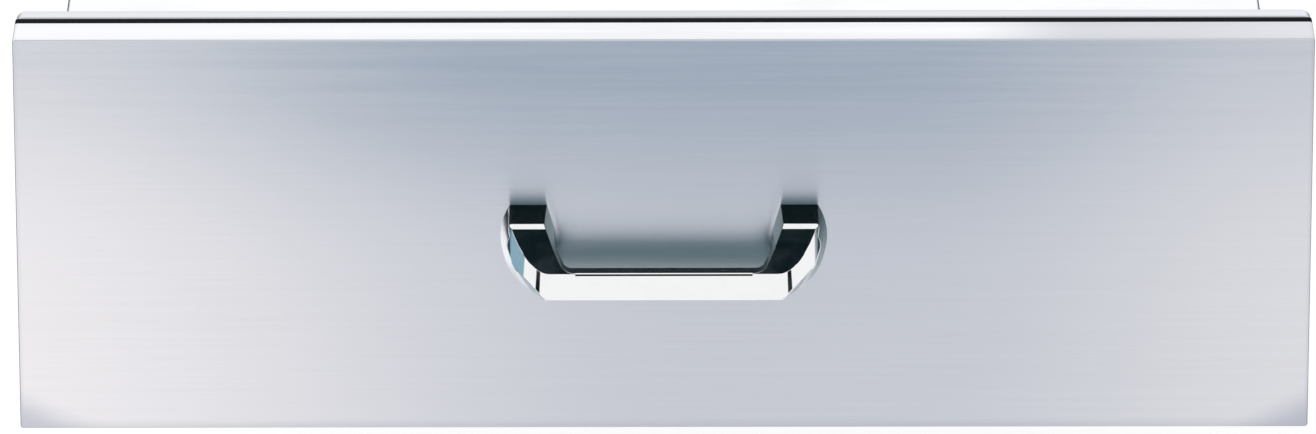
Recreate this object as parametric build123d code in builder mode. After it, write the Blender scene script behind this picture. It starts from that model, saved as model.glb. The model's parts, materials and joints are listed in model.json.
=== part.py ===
from build123d import *
from math import sqrt
import os

# A built-in outdoor kitchen drawer: a stainless housing that slips into a cut-out in the island,
# and a drawer on full-extension ball slides behind a double-walled front with a cast bar handle.
#
# Frame: X to the right, Y back into the island, Z up. The origin is the middle of the plane
# where the housing's flange meets the island's face. All sizes are millimetres.

# Sheet metal
sheet = 1.2
bend = 2.0
tray_rounding = 1.2

# Drawer front: a brushed skin with folded returns, closed behind by a liner
front_width = 762.0
front_height = 245.0
front_depth = 28.0
front_corner = 1.8
liner_return = 12.0

# Gasket between the front and the flange
gasket_space = 8.7
gasket_gap = 0.3
gasket_width = 12.0
gasket_inset = 0.1
gasket_corner = 1.5
gasket_round = 0.5

# Flange of the housing, a channel folded round the opening
flange_depth = 12.3
flange_corner = 6.0
flange_lip = 16.0
flange_side_cover = 25.0
flange_level_cover = 25.5
flange_screw_side_inset = 36.0
flange_screw_inset = 10.5
flange_screw_hole = 5.0
flange_access_hole = 12.0

# Housing sleeve inside the island
sleeve_back_room = 39.0
sleeve_fold = 15.0

# Drawer box
box_floor_gap = 7.8
box_headroom = 33.8
box_rim = 12.0
box_fold = 15.0

# Ball slides, from the housing wall to the drawer box
slide_thickness = 12.7
slide_length = 500.0
slide_setback = 6.0
slide_centre_z = -10.0
slide_sheet = 1.2
slide_gap = 0.3
slide_height = 45.0
slide_outer_reach = 9.6
slide_outer_lip = 3.5
slide_middle_reach = 10.5
slide_inner_reach = 7.7
cage_sheet = 0.6
cage_length = 220.0
cage_outer_reach = 8.0
cage_inner_reach = 9.8
ball_radius = 1.6
ball_play = 0.1
ball_pocket_play = 0.15
ball_count = 8
ball_pitch = 26.0
ball_outer_reach = 6.0
ball_inner_reach = 7.6
buffer_length = 10.0
buffer_height = 16.0
buffer_gap = 0.3

# Release levers on the drawer's slide members
lever_length = 55.0
lever_height = 8.0
lever_thickness = 3.0
lever_setback = 54.0
lever_pivot_inset = 14.0
lever_side_gap = 1.0
lever_pin_radius = 1.5
lever_pin_play = 0.05
lever_pin_head_radius = 2.5
lever_pin_head_height = 0.6

# Handle: a cast bar hung below its two screws on sloping legs. Each corner of its outlines is given
# from a leg's screw: how far outside, how far above, and the corner's rounding.
handle_centres = 160.0
handle_screw_z = 5.0
handle_reach = 32.0
handle_root_corners = ((10.6, 13.8, 1.0), (18.4, -0.3, 36.0), (10.9, -31.3, 36.0), (-5.8, -43.0, 3.0))
handle_face_corners = ((12.0, 8.45, 2.5), (10.4, -2.0, 12.0), (7.6, -13.5, 3.0))
handle_bar_drop = 17.1
handle_bar_height = 17.0
handle_bar_depth = 9.0
handle_bar_corner_inset = 9.4
handle_bar_corner_rounding = 2.0
handle_bar_top_rounding = 2.2
handle_bar_top_inset = 28.0
handle_knee_setback = 7.6
handle_knee_above = 7.7
handle_slope_below = 17.6
handle_flank_inside = 12.9
handle_flank_radius = 36.0
handle_flank_rounding = 1.6
handle_edge_rounding = 0.5
handle_opening_root_corners = ((-9.5, 20.0, 1.0), (-15.7, -1.0, 12.0))
handle_opening_root_inset = 17.0
handle_opening_root_rounding = 5.0
handle_opening_face_corners = ((-4.5, 20.0, 1.0), (-15.1, -4.2, 12.0))
handle_opening_face_inset = 21.5
handle_opening_face_rounding = 9.5
handle_gap_root_inset = 16.8
handle_gap_inset = 22.0
handle_gap_rounding = 5.0
handle_thread_depth = 14.0
handle_screw_end_gap = 1.0

# Rows of fasteners, as shares of the length that they hold
wall_rivet_front = 40.0
wall_rivet_back = 50.0
wall_rivet_shares = (0.36, 0.67)
back_rivet_share = 0.25
slide_rivet_shares = (0.07, 0.35, 0.65, 0.93)
slide_screw_shares = (0.05, 0.3, 0.6, 0.9)
box_corner_shares = (0.14, 0.78)
floor_rivet_shares = (0.12, 0.37, 0.63, 0.88)
front_screw_side_share = 0.85
front_screw_shares = (0.2, 0.8)

# Fasteners
screw_shank = 4.9
screw_hole = 5.4
screw_head = 9.5
screw_head_height = 2.6
screw_head_rounding = 1.6
thread_bore = 5.0
nut_diameter = 8.0
nut_length = 9.0
rivet_shank = 3.9
rivet_hole = 4.1
rivet_head = 7.0
rivet_head_height = 1.6
rivet_head_rounding = 1.3
access_hole = 14.0
plug_head = 17.0
plug_head_height = 1.4
plug_head_rounding = 0.4
plug_gap = 0.2
stiffener_length = 220.0
stiffener_height = 44.0
stiffener_sheet = 2.0
stiffener_return = 10.0

# Places across and up, worked out from the sizes
sleeve_width = front_width - 2 * flange_side_cover
sleeve_height = front_height - 2 * flange_level_cover
inner_half = sleeve_width / 2 - sheet
inner_top = sleeve_height / 2 - sheet
box_half = inner_half - slide_thickness
box_inner_half = box_half - sheet
box_bottom_z = -inner_top + box_floor_gap
box_top_z = inner_top - box_headroom
box_height = box_top_z - box_bottom_z
handle_half = handle_centres / 2

# Places along the depth
flange_front_y = -flange_depth
sleeve_front_y = flange_front_y + sheet
front_back_y = flange_front_y - gasket_space
front_face_y = front_back_y - front_depth
skin_back_y = front_face_y + sheet
liner_front_y = front_back_y - sheet
box_length = slide_length
box_front_y = front_back_y
box_back_y = box_front_y + box_length
slide_front_y = slide_setback
slide_back_y = slide_front_y + slide_length
sleeve_depth = slide_back_y + sleeve_back_room
slide_middle_y = slide_front_y + slide_length / 2

# Half heights and starts of the slide's nested members
ball_room = 2 * (ball_radius + ball_play)
outer_half = slide_height / 2
middle_half = outer_half - slide_sheet - ball_room
inner_half_height = middle_half - slide_sheet - ball_room
outer_ball_level = middle_half + ball_room / 2
inner_ball_level = inner_half_height + ball_room / 2
outer_cage_start = slide_sheet + slide_gap
middle_start = outer_cage_start + cage_sheet + slide_gap
inner_cage_start = middle_start + slide_sheet + slide_gap

os.makedirs("parts", exist_ok=True)


def across(y):
    """Sketch plane across the drawer at depth y: X right, Z up, facing the front."""
    return Plane.XZ.offset(-y)


def along(x):
    """Sketch plane along the drawer at x: Y back, Z up, facing right."""
    return Plane.YZ.offset(x)


def save(piece, label):
    """Label a finished piece and write it to its own file."""
    piece.part.label = label
    export_step(piece.part, f"parts/{label}.step")


def folded(plane, path, thickness, side):
    """Section of a folded sheet on a plane, from the path of its outer side."""
    with BuildSketch(plane) as section:
        with BuildLine():
            FilletPolyline(*path, radius=bend)
            offset(amount=thickness, side=side)
        make_face()
    return section.sketch


def mitre(side, outer_x, outer_z, inner_x, inner_z):
    """Corners of the share of a rectangular ring that lies on one side of the opening."""
    return {
        "top": [(-outer_x, outer_z), (-inner_x, inner_z), (inner_x, inner_z), (outer_x, outer_z)],
        "bottom": [(-outer_x, -outer_z), (outer_x, -outer_z), (inner_x, -inner_z), (-inner_x, -inner_z)],
        "left": [(-outer_x, -outer_z), (-inner_x, -inner_z), (-inner_x, inner_z), (-outer_x, outer_z)],
        "right": [(outer_x, -outer_z), (outer_x, outer_z), (inner_x, inner_z), (inner_x, -inner_z)],
    }[side]


def pins(seat, centres, head, head_height, shank, grip, rounding):
    """Round-headed pins: heads stand on the seat plane, shanks reach back through the grip."""
    with BuildPart() as group:
        extrude(discs(seat, centres, head), amount=head_height)
        tops = group.faces().filter_by(seat).sort_by(Axis(seat.origin, seat.z_dir))[-len(centres):]
        fillet(tops.edges(), rounding)
        extrude(discs(seat, centres, shank), amount=-grip)
    return group.part


def discs(plane, centres, diameter):
    """Discs on a plane, as the profile of a row of holes or pins."""
    with BuildSketch(plane) as profile:
        with Locations(*centres):
            Circle(diameter / 2)
    return profile.sketch


def rivets(seat, centres):
    """Rivets through two sheets, with their heads on the seat plane."""
    return pins(seat, centres, rivet_head, rivet_head_height, rivet_shank, 2 * sheet, rivet_head_rounding)


def screws(seat, centres, grip):
    """Pan-head screws with their heads on the seat plane."""
    return pins(seat, centres, screw_head, screw_head_height, screw_shank, grip, screw_head_rounding)


# Rows of fasteners
wall_rivet_ys = [
    sleeve_front_y + wall_rivet_front,
    *(sleeve_depth * share for share in wall_rivet_shares),
    sleeve_depth - wall_rivet_back,
]
wall_rivet_z = sleeve_height / 2 - sleeve_fold / 2 - sheet / 2
wall_edge_rivets = [(y, z) for y in wall_rivet_ys for z in (-wall_rivet_z, wall_rivet_z)]
back_rivet_z = sleeve_height * back_rivet_share
wall_back_rivets = [(sleeve_depth - sleeve_fold / 2, z) for z in (-back_rivet_z, 0, back_rivet_z)]
slide_rivets = [(slide_front_y + slide_length * share, slide_centre_z) for share in slide_rivet_shares]
box_screws = [(slide_front_y + slide_length * share, slide_centre_z) for share in slide_screw_shares]
box_corner_zs = [box_bottom_z + box_height * share for share in box_corner_shares]
box_corner_rivets = [
    (y, z) for y in (box_front_y + box_fold / 2, box_back_y - box_fold / 2) for z in box_corner_zs
]
floor_rivet_ys = [box_front_y + box_length * share for share in floor_rivet_shares]
floor_half = box_inner_half - (bend - sheet)
floor_rivet_x = box_half - box_rim / 2
floor_rivets = [(x, y) for x in (-floor_rivet_x, floor_rivet_x) for y in floor_rivet_ys]
front_screw_x = box_half * front_screw_side_share
front_screw_zs = [box_bottom_z + box_height * share for share in front_screw_shares]
front_screws = [(x, z) for x in (-front_screw_x, 0, front_screw_x) for z in front_screw_zs]
handle_screws = [(-handle_half, handle_screw_z), (handle_half, handle_screw_z)]
flange_screw_x = front_width / 2 - flange_screw_side_inset
flange_screw_z = front_height / 2 - flange_screw_inset
flange_screws = [(x, z) for x in (-flange_screw_x, flange_screw_x) for z in (-flange_screw_z, flange_screw_z)]

# Housing walls, with the slides riveted to their inner sides
for name, sign in (("left", -1), ("right", 1)):
    with BuildPart() as wall:
        with BuildSketch(along(sign * inner_half)):
            with Locations(((sleeve_front_y + sleeve_depth) / 2, 0)):
                Rectangle(sleeve_depth - sleeve_front_y, sleeve_height)
        extrude(amount=sign * sheet)
        wall_holes = wall_edge_rivets + wall_back_rivets + slide_rivets
        holes = discs(along(sign * inner_half), wall_holes, rivet_hole)
        extrude(holes, amount=sign * sheet, mode=Mode.SUBTRACT)
    save(wall, f"housing_{name}_wall")

# Housing top and bottom, channels whose folds lie inside the walls
for name, sign in (("top", 1), ("bottom", -1)):
    outer_z = sign * sleeve_height / 2
    fold_z = sign * (sleeve_height / 2 - sleeve_fold)
    with BuildPart() as cover:
        path = [(-inner_half, fold_z), (-inner_half, outer_z), (inner_half, outer_z), (inner_half, fold_z)]
        section = folded(across(sleeve_front_y), path, sheet, Side.RIGHT if sign > 0 else Side.LEFT)
        extrude(section, amount=-(sleeve_depth - sheet - sleeve_front_y))
        for wall_side in (-1, 1):
            row = [point for point in wall_edge_rivets if point[1] * sign > 0]
            holes = discs(along(wall_side * inner_half), row, rivet_hole)
            extrude(holes, amount=-wall_side * sheet, mode=Mode.SUBTRACT)
    save(cover, f"housing_{name}")

# Housing back, with its side folds between the folds of the top and bottom
back_fold_top = sleeve_height / 2 - sleeve_fold - sheet
with BuildPart() as housing_back:
    fold_y = sleeve_depth - sleeve_fold
    path = [
        (-inner_half, fold_y),
        (-inner_half, sleeve_depth),
        (inner_half, sleeve_depth),
        (inner_half, fold_y),
    ]
    section = folded(Plane.XY.offset(-sleeve_height / 2), path, sheet, Side.RIGHT)
    extrude(section, amount=sleeve_height)
    with BuildSketch(across(sleeve_depth - sheet)):
        Rectangle(2 * inner_half, sleeve_height)
        Rectangle(2 * inner_half, 2 * back_fold_top, mode=Mode.SUBTRACT)
    extrude(amount=sleeve_fold, mode=Mode.SUBTRACT)
    for wall_side in (-1, 1):
        holes = discs(along(wall_side * inner_half), wall_back_rivets, rivet_hole)
        extrude(holes, amount=-wall_side * sheet, mode=Mode.SUBTRACT)
save(housing_back, "housing_back")

# Rivets of the housing and of the slides' outer members
rivet_groups = (("housing_rivets", wall_edge_rivets + wall_back_rivets), ("slide_rivets", slide_rivets))
for label, centres in rivet_groups:
    with BuildPart() as both:
        for sign in (-1, 1):
            seat = Plane(origin=(sign * sleeve_width / 2, 0, 0), x_dir=(0, sign, 0), z_dir=(sign, 0, 0))
            points = [(sign * y, z) for y, z in centres]
            add(rivets(seat, points))
    save(both, label)

# Flange: a channel round the opening, in four mitred lengths
flange_inner_x = inner_half
flange_inner_z = inner_top
for side in ("top", "bottom", "left", "right"):
    with BuildPart() as strip:
        with BuildSketch(across(0)):
            RectangleRounded(front_width, front_height, flange_corner)
            Rectangle(2 * flange_inner_x, 2 * flange_inner_z, mode=Mode.SUBTRACT)
        extrude(amount=flange_depth)
        rim = strip.faces().filter_by(Axis.Y).sort_by(Axis.Y)[0].outer_wire().edges()
        fillet(rim, bend)
        with BuildSketch(across(-sheet)):
            RectangleRounded(front_width - 2 * sheet, front_height - 2 * sheet, flange_corner - sheet)
            Rectangle(2 * flange_inner_x, 2 * flange_inner_z, mode=Mode.SUBTRACT)
        extrude(amount=flange_depth - 2 * sheet, mode=Mode.SUBTRACT)
        with BuildSketch(across(0)):
            Rectangle(front_width - 2 * flange_lip, front_height - 2 * flange_lip)
            Rectangle(2 * flange_inner_x, 2 * flange_inner_z, mode=Mode.SUBTRACT)
        extrude(amount=sheet, mode=Mode.SUBTRACT)
        extrude(discs(across(0), flange_screws, flange_screw_hole), amount=sheet, mode=Mode.SUBTRACT)
        access = discs(across(flange_front_y), flange_screws, flange_access_hole)
        extrude(access, amount=-sheet, mode=Mode.SUBTRACT)
        with BuildSketch(across(0)):
            with BuildLine():
                Polyline(
                    *mitre(side, front_width / 2, front_height / 2, flange_inner_x, flange_inner_z),
                    close=True,
                )
            make_face()
        extrude(amount=flange_depth, mode=Mode.INTERSECT)
    save(strip, f"flange_{side}")

# Front skin: a shallow tray of brushed sheet, its folded edges rounded
with BuildPart() as front_skin:
    with BuildSketch(across(front_back_y)):
        RectangleRounded(front_width, front_height, front_corner)
    extrude(amount=front_depth)
    rim = front_skin.faces().sort_by(Axis.Y)[0].outer_wire().edges()
    fillet(rim, tray_rounding)
    with BuildSketch(across(front_back_y)):
        RectangleRounded(front_width - 2 * sheet, front_height - 2 * sheet, front_corner - sheet)
    extrude(amount=front_depth - sheet, mode=Mode.SUBTRACT)
    extrude(discs(across(front_face_y), handle_screws, screw_hole), amount=-sheet, mode=Mode.SUBTRACT)
save(front_skin, "front_skin")

# Front liner: a second tray that closes the skin from behind
with BuildPart() as front_liner:
    with BuildSketch(across(front_back_y)):
        RectangleRounded(front_width - 2 * sheet, front_height - 2 * sheet, front_corner - sheet)
    extrude(amount=sheet + liner_return)
    with BuildSketch(across(liner_front_y)):
        Rectangle(front_width - 4 * sheet, front_height - 4 * sheet)
    extrude(amount=liner_return, mode=Mode.SUBTRACT)
    extrude(discs(across(front_back_y), front_screws, screw_hole), amount=sheet, mode=Mode.SUBTRACT)
    extrude(discs(across(front_back_y), handle_screws, access_hole), amount=sheet, mode=Mode.SUBTRACT)
save(front_liner, "front_liner")

# Stiffener behind the skin, a channel that spreads the handle's load
with BuildPart() as handle_stiffener:
    low_z = handle_screw_z - stiffener_height / 2
    high_z = handle_screw_z + stiffener_height / 2
    channel = [
        (skin_back_y + stiffener_return, low_z),
        (skin_back_y, low_z),
        (skin_back_y, high_z),
        (skin_back_y + stiffener_return, high_z),
    ]
    with BuildSketch(along(-stiffener_length / 2)):
        with BuildLine():
            FilletPolyline(*channel, radius=stiffener_sheet + bend)
            offset(amount=stiffener_sheet, side=Side.RIGHT)
        make_face()
    extrude(amount=stiffener_length)
    holes = discs(across(skin_back_y), handle_screws, screw_hole)
    extrude(holes, amount=-stiffener_sheet, mode=Mode.SUBTRACT)
save(handle_stiffener, "handle_stiffener")

# Gasket: four mitred lengths on the back of the liner
gasket_x = front_width / 2 - gasket_inset
gasket_z = front_height / 2 - gasket_inset
gasket_depth = gasket_space - gasket_gap
for side in ("top", "bottom", "left", "right"):
    with BuildPart() as seal:
        with BuildSketch(across(front_back_y)):
            RectangleRounded(2 * gasket_x, 2 * gasket_z, gasket_corner)
            Rectangle(2 * (gasket_x - gasket_width), 2 * (gasket_z - gasket_width), mode=Mode.SUBTRACT)
        extrude(amount=-gasket_depth)
        rim = seal.faces().filter_by(Axis.Y).sort_by(Axis.Y)[-1].edges()
        fillet(rim, gasket_round)
        with BuildSketch(across(front_back_y)):
            with BuildLine():
                Polyline(
                    *mitre(side, gasket_x, gasket_z, gasket_x - gasket_width, gasket_z - gasket_width),
                    close=True,
                )
            make_face()
        extrude(amount=-gasket_depth, mode=Mode.INTERSECT)
    save(seal, f"gasket_{side}")

# Handle, worked out about its screw line
screw_line = handle_screw_z
bar_front_y = front_face_y - handle_reach
bar_back_y = bar_front_y + handle_bar_depth
bar_top_z = screw_line - handle_bar_drop
bar_bottom_z = bar_top_z - handle_bar_height
knee_y = bar_front_y + handle_knee_setback
knee_z = screw_line + handle_knee_above
slope_end_z = screw_line - handle_slope_below
flank_x = handle_half - handle_flank_inside
flank_end_x = flank_x + sqrt(handle_flank_radius**2 - (handle_flank_radius - handle_reach) ** 2)
handle_top_z = screw_line + handle_root_corners[0][1]
handle_foot_z = screw_line + handle_root_corners[-1][1]


def handle_outline(plane, corners):
    """Outline mirrored about the middle, level at both ends, its corners given from a leg's screw."""
    points = [(handle_half + outside, screw_line + above) for outside, above, rounding in corners]
    with BuildSketch(plane) as outline:
        with BuildLine():
            path = [(0, points[0][1]), *points, (0, points[-1][1])]
            FilletPolyline(*path, radius=[rounding for outside, above, rounding in corners])
            mirror(about=Plane.YZ)
        make_face()
    return outline.sketch


# the finger opening between the legs, from above down to the bar
with BuildPart() as finger_opening:
    bar_corner = (-handle_opening_root_inset, -handle_bar_drop, handle_opening_root_rounding)
    add(handle_outline(across(front_face_y), [*handle_opening_root_corners, bar_corner]))
    bar_corner = (-handle_opening_face_inset, -handle_bar_drop, handle_opening_face_rounding)
    add(handle_outline(across(bar_front_y), [*handle_opening_face_corners, bar_corner]))
    loft(ruled=True)

with BuildPart() as handle:
    add(handle_outline(across(front_face_y), handle_root_corners))
    bar_corner = (-handle_bar_corner_inset, bar_bottom_z - screw_line, handle_bar_corner_rounding)
    add(handle_outline(across(bar_front_y), [*handle_face_corners, bar_corner]))
    loft(ruled=True)
    # plan outline: flat bar front, then a broad arc back to the face at each side
    with BuildSketch(Plane.XY.offset(handle_foot_z)):
        with BuildLine():
            Line((0, bar_front_y), (flank_x, bar_front_y))
            RadiusArc((flank_x, bar_front_y), (flank_end_x, front_face_y), -handle_flank_radius)
            Line((flank_end_x, front_face_y), (0, front_face_y))
            mirror(about=Plane.YZ)
        make_face()
    extrude(amount=handle_top_z - handle_foot_z, mode=Mode.INTERSECT)
    flanks = handle.faces().filter_by(GeomType.CYLINDER).filter_by(lambda face: face.radius > handle_reach)
    fillet(flanks.edges().filter_by(Axis.Z, reverse=True), handle_flank_rounding)
    # side profile: a facet above the knee at 45 degrees, then the sloping face down to the bar
    with BuildSketch(along(0)):
        with BuildLine():
            Polyline(
                (front_face_y, knee_z + front_face_y - knee_y),
                (knee_y, knee_z),
                (bar_front_y, slope_end_z),
                (bar_front_y, handle_foot_z),
                (front_face_y, handle_foot_z),
                close=True,
            )
        make_face()
    extrude(amount=flank_end_x, both=True, mode=Mode.INTERSECT)
    add(finger_opening.part, mode=Mode.SUBTRACT)
    # the same opening behind the bar, open below
    with BuildSketch(Plane.XY.offset(handle_foot_z)):
        with BuildLine():
            gap_corners = (
                (0, front_face_y + sheet),
                (handle_half - handle_gap_root_inset, front_face_y + sheet),
                (handle_half - handle_gap_inset, bar_back_y),
                (0, bar_back_y),
            )
            FilletPolyline(*gap_corners, radius=(handle_edge_rounding, handle_gap_rounding))
            mirror(about=Plane.YZ)
        make_face()
    extrude(amount=bar_top_z + handle_gap_rounding - handle_foot_z, mode=Mode.SUBTRACT)
    # soft edges round the facets, the sloping faces and the top of the bar's front
    fronts = handle.faces().filter_by(GeomType.PLANE).filter_by(lambda face: face.normal_at().Y < -0.5)
    crisp = fronts.edges().filter_by_position(Axis.Z, bar_top_z - handle_edge_rounding, handle_top_z)
    fillet(crisp, handle_edge_rounding)
    # between the legs the bar's front turns back into its top with a broader rounding
    turn_half = handle_half - handle_bar_top_inset
    turn_z = bar_top_z - handle_bar_top_rounding
    turn_end = (bar_front_y + handle_bar_top_rounding, bar_top_z)
    with BuildSketch(along(0)):
        with BuildLine():
            RadiusArc((bar_front_y, turn_z), turn_end, handle_bar_top_rounding)
            Polyline(turn_end, (bar_front_y, bar_top_z), (bar_front_y, turn_z))
        make_face()
    extrude(amount=turn_half, both=True, mode=Mode.SUBTRACT)
    bores = discs(across(front_face_y), handle_screws, thread_bore)
    extrude(bores, amount=handle_thread_depth, mode=Mode.SUBTRACT)
save(handle, "handle")

# Drawer box sides, folded in at the rim and under the floor
for name, sign in (("left", -1), ("right", 1)):
    with BuildPart() as box_side:
        path = [
            (sign * (box_half - box_rim), box_bottom_z),
            (sign * box_half, box_bottom_z),
            (sign * box_half, box_top_z),
            (sign * (box_half - box_rim), box_top_z),
        ]
        section = folded(across(box_front_y), path, sheet, Side.LEFT if sign > 0 else Side.RIGHT)
        extrude(section, amount=-box_length)
        # the rim stops where the front and back rims take over, the floor fold at their webs
        with BuildSketch(along(sign * (box_half - sheet))):
            for end_y in (box_front_y, box_back_y):
                inward = 1 if end_y == box_front_y else -1
                with Locations((end_y + inward * box_fold / 2, box_top_z)):
                    Rectangle(box_fold, 2 * bend)
                with Locations((end_y + inward * sheet / 2, box_bottom_z)):
                    Rectangle(sheet, 2 * bend)
        extrude(amount=-sign * box_fold, mode=Mode.SUBTRACT)
        holes = discs(along(sign * box_half), box_screws, screw_hole)
        extrude(holes, amount=-sign * sheet, mode=Mode.SUBTRACT)
        holes = discs(along(sign * box_half), box_corner_rivets, rivet_hole)
        extrude(holes, amount=-sign * sheet, mode=Mode.SUBTRACT)
        row = [point for point in floor_rivets if point[0] * sign > 0]
        holes = discs(Plane.XY.offset(box_bottom_z), row, rivet_hole)
        extrude(holes, amount=sheet, mode=Mode.SUBTRACT)
    save(box_side, f"box_{name}")

# Drawer box front and back, trays with side folds and a rim
for name, web_y, inward in (("front", box_front_y, 1), ("back", box_back_y, -1)):
    with BuildPart() as box_end:
        path = [
            (-box_inner_half, web_y + inward * box_fold),
            (-box_inner_half, web_y),
            (box_inner_half, web_y),
            (box_inner_half, web_y + inward * box_fold),
        ]
        fold_side = Side.LEFT if inward > 0 else Side.RIGHT
        section = folded(Plane.XY.offset(box_bottom_z), path, sheet, fold_side)
        extrude(section, amount=box_height - sheet)
        with BuildSketch(Plane.XY.offset(box_bottom_z)):
            with Locations((0, web_y + inward * (sheet + box_fold) / 2)):
                Rectangle(2 * box_inner_half, box_fold - sheet)
        extrude(amount=2 * sheet, mode=Mode.SUBTRACT)
        with BuildSketch(Plane.XY.offset(box_top_z - sheet)):
            with Locations((0, web_y + inward * box_fold / 2)):
                Rectangle(2 * box_inner_half, box_fold)
        extrude(amount=sheet)
        if name == "front":
            holes = discs(across(web_y), front_screws, screw_hole)
            extrude(holes, amount=-sheet, mode=Mode.SUBTRACT)
        for sign in (-1, 1):
            row = [point for point in box_corner_rivets if (point[0] - web_y) * inward < box_fold]
            holes = discs(along(sign * box_inner_half), row, rivet_hole)
            extrude(holes, amount=-sign * sheet, mode=Mode.SUBTRACT)
    save(box_end, f"box_{name}_panel")

# Drawer box floor, resting on the sides' lower folds
with BuildPart() as box_floor:
    with BuildSketch(Plane.XY.offset(box_bottom_z + sheet)):
        with Locations((0, (box_front_y + box_back_y) / 2)):
            Rectangle(2 * floor_half, box_length - 2 * sheet)
    extrude(amount=sheet)
    holes = discs(Plane.XY.offset(box_bottom_z + sheet), floor_rivets, rivet_hole)
    extrude(holes, amount=sheet, mode=Mode.SUBTRACT)
save(box_floor, "box_floor")

# Rivets of the drawer box: at the corners and along the floor
with BuildPart() as box_rivets:
    for sign in (-1, 1):
        seat = Plane(origin=(sign * box_half, 0, 0), x_dir=(0, sign, 0), z_dir=(sign, 0, 0))
        points = [(sign * y, z) for y, z in box_corner_rivets]
        add(rivets(seat, points))
    add(rivets(Plane.XY.offset(box_bottom_z + 2 * sheet), floor_rivets))
save(box_rivets, "box_rivets")

# Screws that fix the front to the box, from inside the box into rivet nuts in the liner
with BuildPart() as front_fixing_screws:
    seat = Plane(origin=(0, box_front_y + sheet, 0), x_dir=(-1, 0, 0), z_dir=(0, 1, 0))
    points = [(-x, z) for x, z in front_screws]
    grip = 2 * sheet + nut_length
    add(screws(seat, points, grip))
save(front_fixing_screws, "front_fixing_screws")

with BuildPart() as front_rivet_nuts:
    extrude(discs(across(liner_front_y), front_screws, nut_diameter), amount=nut_length)
    extrude(discs(across(liner_front_y), front_screws, thread_bore), amount=nut_length, mode=Mode.SUBTRACT)
save(front_rivet_nuts, "front_rivet_nuts")

# Handle screws, from behind the stiffener into the handle's legs
with BuildPart() as handle_fixing_screws:
    seat_y = skin_back_y + stiffener_sheet
    seat = Plane(origin=(0, seat_y, 0), x_dir=(-1, 0, 0), z_dir=(0, 1, 0))
    points = [(-x, z) for x, z in handle_screws]
    grip = stiffener_sheet + sheet + handle_thread_depth - handle_screw_end_gap
    add(screws(seat, points, grip))
save(handle_fixing_screws, "handle_fixing_screws")

# Plugs in the liner's access holes
with BuildPart() as liner_plugs:
    seat = across(liner_front_y)
    plug_shank = access_hole - 2 * plug_gap
    add(pins(seat, handle_screws, plug_head, plug_head_height, plug_shank, sheet, plug_head_rounding))
save(liner_plugs, "liner_plugs")

# Ball slides. A point of a slide's section is its distance from the housing wall and its height.


def slide_section(sign, path, thickness, side):
    """Section of one nested slide member on the given side of the housing."""
    placed = [(sign * (inner_half - reach), slide_centre_z + level) for reach, level in path]
    return folded(across(slide_front_y), placed, thickness, side)


def cage(sign, reach, level, start):
    """Ball cage: a thin channel with a pocket for each ball."""
    outside = level + cage_sheet / 2
    path = [(reach, outside), (start, outside), (start, -outside), (reach, -outside)]
    placed = [(sign * (inner_half - across_x), slide_centre_z + z) for across_x, z in path]
    front_y = slide_middle_y - cage_length / 2
    return folded(across(front_y), placed, cage_sheet, Side.RIGHT if sign > 0 else Side.LEFT)


def ball_centres(sign, reach):
    """Places of one row of balls in plan."""
    first = slide_middle_y - ball_pitch * (ball_count - 1) / 2
    return [(sign * (inner_half - reach), first + ball_pitch * n) for n in range(ball_count)]


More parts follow.
